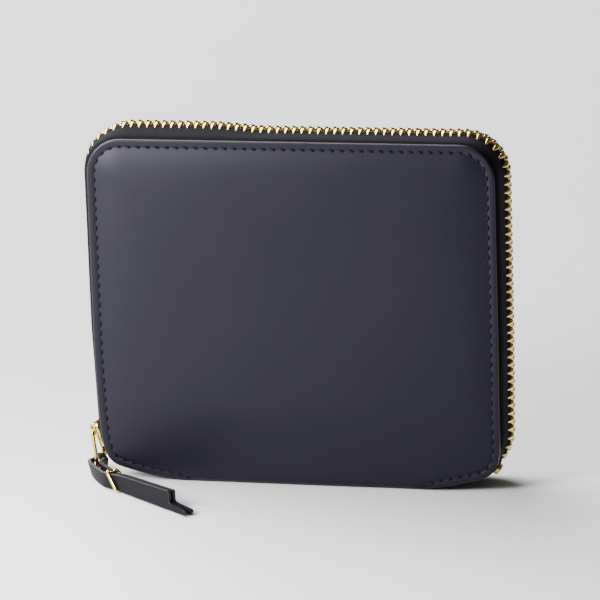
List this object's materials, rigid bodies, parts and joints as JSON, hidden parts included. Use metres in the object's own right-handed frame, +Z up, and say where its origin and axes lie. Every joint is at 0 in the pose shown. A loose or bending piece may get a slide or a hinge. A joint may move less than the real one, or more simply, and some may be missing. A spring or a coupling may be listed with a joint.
{
  "type": "zip around wallet",
  "caption": "Compact book-fold leather wallet closed on three sides by a metal zip, with a wire link and leather strap on its slider, card slots and a zipped coin pocket inside.",
  "frame": {"origin": "on the floor under the middle of the spine that the closed wallet stands on", "axes": "+X along the spine towards the zip's far end, +Y from the front cover to the back cover, +Z up, from the spine to the zip's long side"},
  "size_m": [0.1129, 0.0472, 0.0926],
  "materials": {
    "cover_leather": "smooth satin dark navy calf leather",
    "lining_leather": "smooth matt navy leather lining",
    "pocket_leather": "smooth navy leather with cut, inked edges",
    "strap_leather": "dark navy leather strip with inked edges",
    "board": "grey fibre board",
    "thread": "waxed very dark navy thread",
    "zip_tape": "dark navy woven herringbone tape",
    "zip_metal": "polished light gold teeth",
    "slider_metal": "polished light gold die-cast and wire"
  },
  "bodies": {
    "spine": {"spine_leather": "cover_leather", "spine_stiffener": "board", "spine_lining": "lining_leather", "fold_front_leather": "cover_leather", "fold_back_leather": "cover_leather", "zip_bottom_stop": "zip_metal", "zip_top_stop_front": "zip_metal", "zip_top_stop_back": "zip_metal"},
    "front_half": {"front_cover_leather": "cover_leather", "front_board": "board", "front_lining": "lining_leather", "front_stitching": "thread", "zip_tape_front": "zip_tape", "zip_teeth_front": "zip_metal", "card_slot_1": "pocket_leather", "card_slot_2": "pocket_leather", "card_slot_3": "pocket_leather", "card_slot_4": "pocket_leather"},
    "back_half": {"back_cover_leather": "cover_leather", "back_board": "board", "back_lining": "lining_leather", "back_stitching": "thread", "zip_tape_back": "zip_tape", "zip_teeth_back": "zip_metal", "note_pocket_panel": "pocket_leather", "coin_pocket_panel": "pocket_leather", "coin_pocket_top": "pocket_leather", "coin_zip_tape": "zip_tape", "coin_zip_teeth": "zip_metal"},
    "slider": {"zip_slider_body": "slider_metal", "zip_slider_bridge": "slider_metal"},
    "link": {"pull_link": "slider_metal"},
    "strap": {"pull_strap": "strap_leather", "strap_band": "slider_metal"},
    "coin_slider": {"coin_slider_body": "slider_metal", "coin_slider_bridge": "slider_metal"},
    "coin_tab": {"coin_pull": "slider_metal"}
  },
  "joints": [
    {"name": "front_open", "type": "hinge", "parent": "spine", "child": "front_half", "pos_m": [0, -0.0063, 0.00205], "axis": [1, 0, 0], "range_deg": [0, 90], "deforming": ["zip_tape_front", "zip_teeth_front", "zip_tape_back", "zip_teeth_back", "fold_front_leather"]},
    {"name": "back_open", "type": "hinge", "parent": "spine", "child": "back_half", "pos_m": [0, 0.0063, 0.00205], "axis": [-1, 0, 0], "range_deg": [0, 90], "deforming": ["zip_tape_front", "zip_teeth_front", "zip_tape_back", "zip_teeth_back", "fold_back_leather"]},
    {"name": "slider_run", "type": "slide", "parent": "front_half", "child": "slider", "axis": [-0.0254, 0, 0.9997], "range_m": [0, 0.062], "deforming": ["zip_tape_front", "zip_teeth_front", "zip_tape_back", "zip_teeth_back"]},
    {"name": "link_swing", "type": "hinge", "parent": "slider", "child": "link", "pos_m": [-0.0557, 0, 0.01103], "axis": [0, 1, 0], "range_deg": [0, 150]},
    {"name": "strap_swing", "type": "hinge", "parent": "link", "child": "strap", "pos_m": [-0.05462, 0, 0.00159], "axis": [0, 1, 0], "range_deg": [0, 90]},
    {"name": "coin_slider_run", "type": "slide", "parent": "back_half", "child": "coin_slider", "axis": [1, 0, 0], "range_m": [0, 0.07], "deforming": ["coin_zip_tape", "coin_zip_teeth"]},
    {"name": "coin_pull_swing", "type": "hinge", "parent": "coin_slider", "child": "coin_tab", "pos_m": [-0.0383, 0.00215, 0.064], "axis": [0, 0, 1], "range_deg": [0, 150]}
  ]
}
